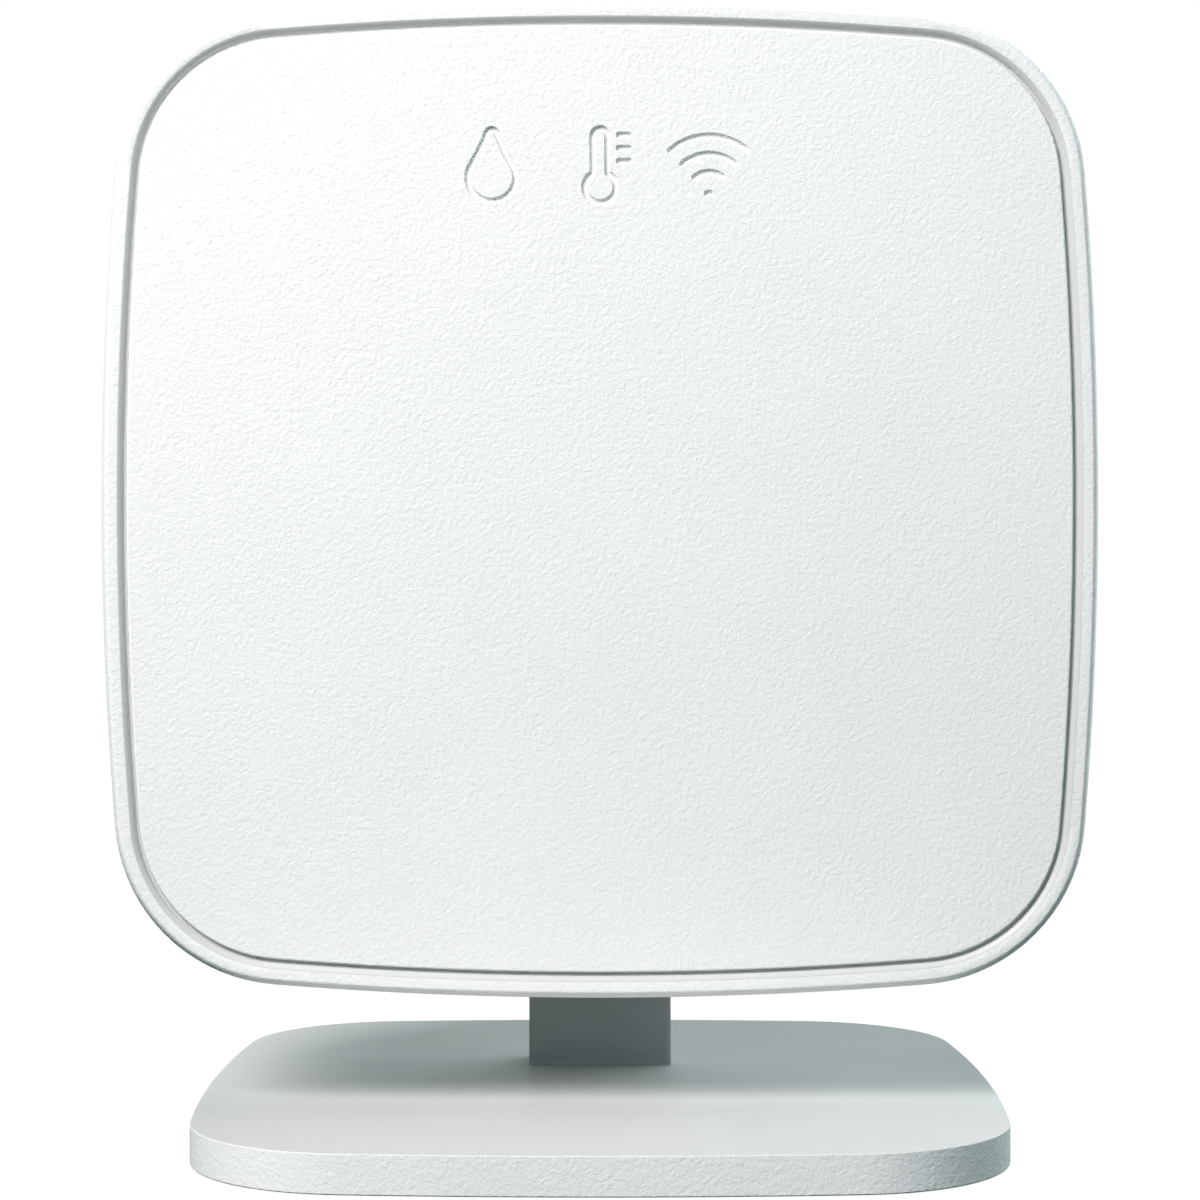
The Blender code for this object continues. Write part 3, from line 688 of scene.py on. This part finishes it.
def round_holes():
    """Holes in the back for the button and the light pipe, with chamfered mouths."""
    chamfer = 0.25 * MM
    holes = []
    for low, high, radius in ((BUTTON_LOW, BUTTON_HIGH, BUTTON_RADIUS), (PIPE_LOW, PIPE_HIGH, PIPE_RADIUS)):
        middle = (low + high) / 2
        wall = radius + FIT
        profile = [(-3.0 * MM, wall), (-chamfer, wall), (0.0, wall + chamfer)]
        profile.append((1.0 * MM, wall + 1.0 * MM + chamfer))
        holes.append(turned((middle.x, REAR_Y, middle.z), BACKWARDS, profile, 48))
    return holes


def vent_slots():
    """Round-ended slots in the back beside the climate sensor, and in the wall under it."""
    slots = []
    for row in range(VENT_ROWS):
        z = CENTRE_Z - 23.0 * MM + row * 2.6 * MM
        outline = round_rectangle((-20.0 * MM, z), (-9.0 * MM, z + 1.1 * MM), 0.549 * MM, 5)
        slots.append(slab(outline, through_back(FLOOR_Y - WALL)))
    low = CENTRE_Z - COVER_HALF - 2 * WALL
    for column in range(VENT_COLUMNS):
        x = -18.5 * MM + column * 2.2 * MM
        outline = round_rectangle((x, -6.0 * MM), (x + 1.0 * MM, 0.5 * MM), 0.499 * MM, 5)
        slots.append(loft([[Vector((a, b, z)) for a, b in outline] for z in (low, low + 3 * WALL)]))
    return slots


def housing_features(housing):
    """Battery bay, rail channel, pin pockets and screw bosses: first the walls, then the hollows."""
    backings, pockets = pin_pockets()
    bosses, pilots = screw_bosses()
    half = BAY_HALF + BAY_WALL
    height = (BAY_LOW - 1.5 * MM, BAY_TOP + 1.5 * MM)
    join(housing, block((-half, half), into_back(BAY_FRONT - 0.8 * MM), height))
    half = RAIL_HEAD_HALF + CHANNEL_WALL
    height = (CENTRE_Z - COVER_HALF - 1.0 * MM, CHANNEL_TOP + 1.2 * MM)
    join(housing, block((-half, half), into_back(CHANNEL_FLOOR), height))
    join(housing, *backings)
    join(housing, *bosses)
    bay = round_rectangle((-BAY_HALF, BAY_LOW), (BAY_HALF, BAY_TOP), 1.0 * MM, 4)
    cut(housing, slab(bay, through_back(BAY_FRONT)))
    grow = DOOR_EDGE + FIT
    half = BAY_HALF + grow
    recess = round_rectangle((-half, BAY_LOW - grow), (half, BAY_TOP + grow), DOOR_CORNER + FIT)
    cut(housing, slab(recess, through_back(REAR_Y - DOOR_THICK - FIT)))
    cut(housing, *pockets)
    cut(housing, thumb_dish())
    cut(housing, *pilots)
    height = (CENTRE_Z - COVER_HALF - 4.0 * MM, CHANNEL_TOP)
    head = RAIL_HEAD_HALF + FIT
    web = RAIL_WEB_HALF + FIT
    cut(housing, block((-head, head), (RAIL_HEAD[0] - FIT, RAIL_HEAD[1] + FIT), height))
    cut(housing, block((-web, web), through_back(RAIL_HEAD[1]), height))
    cut(housing, *round_holes(), *vent_slots())


def build_housing():
    """Shell whose rim has a smooth groove round the cover, coloured darker as painted shade, and a grained
    outside.
    """
    rings = [front_ring(grow, y) for grow, y in housing_section()]
    housing = piece("housing_shell", "sensor", "white_plastic", LOOKS["grained"], loft(rings))
    # The rim's groove takes the darker smooth look: painted shade between cover and housing.
    housing.data.materials.append(LOOKS["smooth"])
    for face in housing.data.polygons[: len(RIM_HOLLOW) * len(rings[0])]:
        face.material_index = 1
    housing_features(housing)
    smooth(housing, 28)
    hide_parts("rear_housing")


# ---------------------------------------------------------------- door, button, light pipe


PIN_RADIUS = 0.5 * MM
PIN_Y = 4.4 * MM
PIN_Z = CENTRE_Z + 0.2 * MM
ARROW_TOP = BAY_TOP - 3.2 * MM
ARROW_HALF = 2.2 * MM
ARROW_DEPTH = 0.5 * MM


def hinge_pin(x):
    """Pin along X with chamfered ends, its middle at x."""
    chamfer = 0.15 * MM
    length = 2 * PIN_HALF
    tip = PIN_RADIUS - chamfer
    profile = [(0.0, tip), (chamfer, PIN_RADIUS), (length - chamfer, PIN_RADIUS), (length, tip)]
    return turned((x - PIN_HALF, PIN_Y, PIN_Z), (1, 0, 0), profile, 24)


def engrave_arrow(door):
    """An arrowhead over a bar, with smooth floors coloured darker as painted shade, that shows which way the
    door opens.
    """
    floor = REAR_Y - ARROW_DEPTH
    arrow = [(-ARROW_HALF, ARROW_TOP), (0.0, ARROW_TOP - 2.8 * MM), (ARROW_HALF, ARROW_TOP)]
    bar_low, bar_top = ARROW_TOP - 4.6 * MM, ARROW_TOP - 3.8 * MM
    bar = round_rectangle((-ARROW_HALF, bar_low), (ARROW_HALF, bar_top), 0.39 * MM, 4)
    cut(door, slab(arrow, through_back(floor)), slab(bar, through_back(floor)))
    # The arrow's floors take the darker smooth look: painted shade in the recess.
    door.data.materials.append(LOOKS["smooth"])
    for face in door.data.polygons:
        if face.normal.y > 0.9 and abs(face.center.y - floor) < 0.02 * MM:
            face.material_index = 1


def build_door():
    """Panel with hinge pins, latch lip and ribs inside, and a thumb dish and an arrow outside."""
    front = REAR_Y - DOOR_THICK
    low = BAY_LOW - DOOR_EDGE
    half = BAY_HALF + DOOR_EDGE
    outline = round_rectangle((-half, low), (half, BAY_TOP + DOOR_EDGE), DOOR_CORNER)
    panel = slab(outline, (front, REAR_Y), 0.15 * MM)
    door = piece("door_panel", "door", "white_plastic", LOOKS["grained"], panel)
    web_half = 1.8 * MM
    web_depth = (front + 0.25 * MM, REAR_Y - 0.25 * MM)
    for x in (-PIN_X, PIN_X):
        join(door, block((x - web_half, x + web_half), web_depth, (PIN_Z, low + LAP)))
        join(door, hinge_pin(x))
    lip_half = 4.0 * MM
    lip_top = BAY_TOP - FIT
    join(door, block((-lip_half, lip_half), (front - 2.0 * MM, front + LAP), (lip_top - 1.0 * MM, lip_top)))
    rib_half = 0.4 * MM
    rib_height = (BAY_LOW + 1.0 * MM, BAY_LOW + 8.0 * MM)
    ribs = []
    for x in (-18.0 * MM, -6.0 * MM, 6.0 * MM, 18.0 * MM):
        ribs.append(block((x - rib_half, x + rib_half), (front - 0.05 * MM, front + LAP), rib_height))
    join(door, *ribs)
    cut(door, thumb_dish())
    engrave_arrow(door)
    smooth(door)
    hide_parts("battery_door")


def build_button():
    """Dished cap, retaining flange and stem."""
    middle = (BUTTON_LOW + BUTTON_HIGH) / 2
    start = BUTTON_LOW.y
    flange = FLOOR_Y - FIT - start
    flange_front = flange - 0.8 * MM
    length = BUTTON_HIGH.y - start
    stem = 1.2 * MM
    flange_radius = 3.5 * MM
    edge = 0.25 * MM
    dish_radius = BUTTON_RADIUS - 0.45 * MM
    profile = [(0.0, 1.0 * MM), (0.2 * MM, stem), (flange_front, stem), (flange_front, flange_radius)]
    profile += [(flange, flange_radius), (flange, BUTTON_RADIUS)]
    profile += [(length - edge + b, BUTTON_RADIUS - edge + a) for a, b in arc((0, 0), edge, 0, 90, 5)]
    for step in range(1, 9):
        radius = dish_radius * (1 - step / 8.5)
        dish = 0.28 * MM * (1 - (radius / (BUTTON_RADIUS - 0.3 * MM)) ** 2)
        profile.append((length - dish, radius))
    cap = turned((middle.x, start, middle.z), BACKWARDS, profile, 56)
    button = piece("button_cap", "button", "white_plastic", LOOKS["satin"], cap)
    smooth(button)
    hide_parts("pairing_button")


def build_light_pipe():
    """Moulded rod with a domed end that stands level with the back."""
    middle = (PIPE_LOW + PIPE_HIGH) / 2
    length = PIPE_HIGH.y - PIPE_LOW.y
    profile = [(0.0, 1.1 * MM), (0.2 * MM, 1.3 * MM), (7.5 * MM, PIPE_RADIUS)]
    profile += [(length - 0.25 * MM, PIPE_RADIUS), (length - 0.1 * MM, 0.8 * MM)]
    profile += [(length - 0.02 * MM, 0.45 * MM), (length, 0.12 * MM)]
    rod = turned((middle.x, PIPE_LOW.y, middle.z), BACKWARDS, profile, 36)
    pipe = piece("light_pipe_rod", "sensor", "clear_plastic", LOOKS["clear"], rod)
    smooth(pipe, 40)
    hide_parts("light_pipe")


# ---------------------------------------------------------------- stand


PAD_INSET = 3.0 * MM
NECK_FRONT = 5.2 * MM


def build_base():
    """Plate with a smooth top, coloured darker than its grained edge as painted shade, hollowed below for
    the pad and the screws.
    """
    round_top = 0.07 * MM
    round_low = 0.12 * MM
    section = arc((-round_low, BASE_LOW.z + round_low), round_low, -90, 0, 5)
    section += arc((-round_top, BASE_HIGH.z - round_top), round_top, 0, 90, 5)
    plate = loft([base_ring(grow, z) for grow, z in section])
    # Top and underside take the darker satin look as painted shade; the walls keep the white grain.
    base = piece("base_plate", "stand", "white_plastic", LOOKS["satin"], plate)
    base.data.materials.append(LOOKS["grained"])
    for face in base.data.polygons:
        if abs(face.normal.z) < 0.5:
            face.material_index = 1
    cut(base, loft([base_ring(FIT - PAD_INSET, z) for z in (BASE_LOW.z - 1.0 * MM, PAD_HIGH.z + FIT)]))
    head = [(0.0, 2.1 * MM), (2.2 * MM, 2.1 * MM)]
    shank = [(0.0, PILOT_RADIUS), (4.0 * MM, PILOT_RADIUS)]
    places = []
    for name in ("stand_screw_left", "stand_screw_right"):
        low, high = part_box(name)
        places.append(((low.x + high.x) / 2, (low.y + high.y) / 2, 0.0))
    cut(base, *[turned(place, (0, 0, 1), head, 40) for place in places])
    cut(base, *[turned(place, (0, 0, 1), shank, 32) for place in places])
    smooth(base)
    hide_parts("stand_base")


def neck_outline(low):
    """Side view of the neck, as (depth, height), with round upper edges and a small fillet at its foot."""
    rear = NECK_HIGH.y
    top = NECK_HIGH.z
    rear_round = 0.5 * MM
    front_round = 0.3 * MM
    fillet = 0.35 * MM
    outline = [(rear, low)]
    outline += arc((rear - rear_round, top - rear_round), rear_round, 0, 90, 5)
    outline += arc((NECK_FRONT + front_round, top - front_round), front_round, 90, 180, 4)
    outline += arc((NECK_FRONT - fillet, low + fillet), fillet, 0, -88, 5)
    outline.append((NECK_FRONT - fillet, low))
    return outline


def build_neck():
    """Upright with softened edges and its T rail."""
    low = BASE_HIGH.z + 0.004 * MM
    edge = 0.3 * MM
    half = NECK_HIGH.x
    sides = []
    for x, shrink in ((-half, edge), (-half + edge, 0.0), (half - edge, 0.0), (half, edge)):
        ring = []
        for y, z in neck_outline(low):
            inside = min(1.0, (z - low) / (2 * edge))
            towards = shrink * inside * (1 if y < (NECK_FRONT + NECK_HIGH.y) / 2 else -1)
            ring.append(Vector((x, y + towards, z)))
        sides.append(ring)
    # The neck takes the grey-green look: painted shade on white plastic.
    neck = piece("neck_post", "stand", "white_plastic", LOOKS["neck"], loft(sides))
    rail_height = (RAIL_LOW, RAIL_TOP)
    join(neck, block((-RAIL_WEB_HALF, RAIL_WEB_HALF), (RAIL_HEAD[1] - LAP, NECK_FRONT + LAP), rail_height))
    join(neck, block((-RAIL_HEAD_HALF, RAIL_HEAD_HALF), RAIL_HEAD, rail_height))
    smooth(neck, 35)
    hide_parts("stand_neck")


def hoop(section):
    """A closed hoop that follows the base's outline, from a four-sided section of (offset, height)."""

    def add(mesh):
        rows = [[mesh.verts.new(point) for point in base_ring(grow, z)] for grow, z in section]
        for low, high in zip(rows, rows[1:] + rows[:1]):
            for i, vert in enumerate(low):
                after = (i + 1) % len(low)
                mesh.faces.new((vert, low[after], high[after], high[i]))

    return add


def build_pad():
    """Non-slip pad with a softened edge and three grooves that follow its outline."""
    edge = 0.12 * MM
    rings = [base_ring(-PAD_INSET - edge, PAD_LOW.z), base_ring(-PAD_INSET, PAD_LOW.z + edge)]
    rings += [base_ring(-PAD_INSET, PAD_HIGH.z - edge), base_ring(-PAD_INSET - edge, PAD_HIGH.z)]
    pad = piece("foot_pad", "stand", "grey_rubber", LOOKS["rubber"], loft(rings))
    floor = PAD_LOW.z + 0.25 * MM
    below = PAD_LOW.z - 1.0 * MM
    for step in range(3):
        outer = -(5.0 + 1.8 * step) * MM
        inner = outer - 0.6 * MM
        cut(pad, hoop([(outer, below), (outer, floor), (inner, floor), (inner, below)]))
    smooth(pad)
    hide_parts("base_pad")


# ---------------------------------------------------------------- cells


def can_profile(length, radius):
    """Metal can from its positive tip: nub, shoulder, wall and rolled foot, as (distance, radius)."""
    nub = [(0.0, 1.5 * MM), (0.15 * MM, 1.8 * MM), (0.35 * MM, 1.9 * MM), (1.0 * MM, 1.9 * MM)]
    shoulder = [(1.1 * MM, 2.3 * MM), (1.25 * MM, 4.2 * MM)]
    shoulder += [(1.45 * MM, radius - 0.35 * MM), (1.9 * MM, radius - 0.15 * MM)]
    foot = [(length - 0.5 * MM, radius - 0.15 * MM), (length - 0.15 * MM, radius - 0.4 * MM)]
    foot += [(length, radius - 0.9 * MM), (length - 0.1 * MM, radius - 1.6 * MM)]
    foot.append((length - 0.1 * MM, 0.6 * MM))
    return nub + shoulder + foot


def sleeve_profile(length, radius):
    """Shrink sleeve, turned in over both ends of the can."""
    tip = [(1.35 * MM, radius - 0.9 * MM), (1.25 * MM, radius - 0.5 * MM), (1.4 * MM, radius - 0.15 * MM)]
    wall = [(1.8 * MM, radius), (length - 0.8 * MM, radius)]
    foot = [(length - 0.35 * MM, radius - 0.2 * MM), (length - 0.3 * MM, radius - 0.3 * MM)]
    return tip + wall + foot


def build_cells():
    """Two AAA cells, each a bare can in its sleeve."""
    for name, side in (("battery_upper", 1), ("battery_lower", -1)):
        low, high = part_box(name)
        middle = (low + high) / 2
        tip = (high.x if side > 0 else low.x, middle.y, middle.z)
        size = (high.x - low.x, (high.z - low.z) / 2)
        can = turned(tip, (-side, 0, 0), can_profile(*size), 64)
        sleeve = turned(tip, (-side, 0, 0), sleeve_profile(*size), 64)
        body = piece(f"{name}_can", "sensor", "nickel", LOOKS["nickel"], can)
        skin = piece(f"{name}_sleeve", "sensor", "cell_sleeve", LOOKS["sleeve"], sleeve)
        smooth(body, 40)
        smooth(skin, 40)
        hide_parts(name)


# ---------------------------------------------------------------- carried-over CAD nodes

CARRIED = {
    "steel": [
        "stand_screw_left", "stand_screw_right", "board_screw_left", "board_screw_right", "board_screw_top",
        "quartz_crystal", "reservoir_capacitor", "radio_shield", "antenna",
    ],
    "nickel": ["positive_contact", "negative_contact", "bridge_contact", "negative_spring", "bridge_spring"],
    "board": ["circuit_board", "radio_board"],
    "chip": ["microcontroller", "power_inductor", "climate_sensor", "switch_body"],
    "foam": ["climate_foam", "door_foam"],
    "clear": ["status_led"],
    "grey": ["switch_plunger"],
}


def edge_width(name):
    """Width of the round on a node's edges: none on wire and screws, narrow on bent sheet metal."""
    if "spring" in name or "screw" in name:
        return 0.0
    return 0.02 * MM if "contact" in name or "antenna" in name else 0.08 * MM


def dress_nodes():
    """Materials and softened edges for the CAD nodes that are kept as they are."""
    for look, names in CARRIED.items():
        for name in names:
            node = NODES[name]
            node.data.materials.clear()
            node.data.materials.append(LOOKS[look])
            smooth(node, bevel=edge_width(name))


# ---------------------------------------------------------------- stage, lights, camera


def emission_material(name, colour, strength):
    made = bpy.data.materials.new(name)
    made.use_nodes = True
    tree = made.node_tree
    tree.nodes.clear()
    glow = tree.nodes.new("ShaderNodeEmission")
    glow.inputs["Color"].default_value = (*colour, 1.0)
    glow.inputs["Strength"].default_value = strength
    out = tree.nodes.new("ShaderNodeOutputMaterial")
    tree.links.new(glow.outputs["Emission"], out.inputs["Surface"])
    return made


def floor_material():
    shader = Shader("floor", (0.06, 0.06, 0.06), 0.9)
    shader.surface.inputs["Specular IOR Level"].default_value = 0.0
    shader.surface.inputs["Emission Color"].default_value = (1.0, 1.0, 1.0, 1.0)
    shader.surface.inputs["Emission Strength"].default_value = 1.0
    shader.relief(shader.noise(30.0), 0.01 * MM)
    return shader.material


def build_stage():
    """Pale floor and a plain white surround. Neither throws light back on the object."""
    bpy.ops.mesh.primitive_plane_add(size=4.4, location=(0, 0, -0.02 * MM))
    floor = bpy.context.object
    floor.name = "floor"
    floor.data.materials.append(floor_material())
    bpy.ops.mesh.primitive_uv_sphere_add(radius=2.5, segments=48, ring_count=24)
    surround = bpy.context.object
    surround.name = "surround"
    surround.data.materials.append(emission_material("surround", (1.0, 1.0, 1.0), 1.0))
    for thing in (floor, surround):
        thing.visible_diffuse = False
        thing.visible_glossy = False
        thing.visible_transmission = False
        thing.visible_shadow = False


def softbox(name, turn, height, distance, size, power, colour):
    """A square light that looks at the sensor's middle, from so many degrees left of the front and up."""
    across, up = math.radians(turn), math.radians(height)
    way = Vector((-math.sin(across) * math.cos(up), -math.cos(across) * math.cos(up), math.sin(up)))
    data = bpy.data.lights.new(name, "AREA")
    data.shape = "SQUARE"
    data.size = size
    data.energy = power
    data.color = colour
    lamp = new_object(name, data)
    lamp.location = Vector((0.0, 0.0, CENTRE_Z)) + way * distance
    lamp.rotation_euler = (-way).to_track_quat("-Z", "Y").to_euler()


def build_lights():
    """A key from the upper left, weak fills from the right, and soft light on the back."""
    softbox("key", 36, 38, 0.37, 0.18, 2.12, (1.0, 0.955, 0.965))
    softbox("right_fill", -45, 15, 0.5, 0.35, 0.32, (0.9, 0.95, 1.0))
    softbox("right_side", -106, 20, 0.5, 0.35, 0.70, (0.9, 1.0, 1.0))
    softbox("rear_right", -148, 35, 0.5, 0.3, 0.36, (0.7, 1.0, 1.0))
    softbox("rear_low", -135, 8, 0.5, 0.35, 0.95, (1.0, 1.0, 0.99))
    softbox("rear_left", 142, 10, 0.5, 0.35, 0.35, (1.0, 1.0, 0.99))
    softbox("rear", -168, 20, 0.5, 0.3, 0.18, (0.9, 1.0, 1.0))
    softbox("rear_top", -175, 55, 0.5, 0.3, 0.36, (1.0, 0.86, 0.88))
    world = bpy.data.worlds.new("studio")
    bpy.context.scene.world = world
    world.use_nodes = True
    sky = world.node_tree.nodes["Background"]
    sky.inputs["Color"].default_value = (0.25, 1.0, 0.93, 1.0)
    sky.inputs["Strength"].default_value = 0.07


def build_camera():
    data = bpy.data.cameras.new("camera")
    data.lens = CAMERA_LENS
    data.sensor_width = CAMERA_SENSOR
    data.clip_start = 0.01
    camera = new_object("camera", data)
    camera.location = (0.0, -CAMERA_DISTANCE, CAMERA_HEIGHT)
    camera.rotation_euler = (math.pi / 2, 0.0, 0.0)
    bpy.context.scene.camera = camera


build_cover()
build_housing()
build_door()
build_button()
build_light_pipe()
build_base()
build_neck()
build_pad()
build_cells()
dress_nodes()
build_stage()
build_lights()
build_camera()
bpy.context.scene.view_settings.view_transform = "Standard"
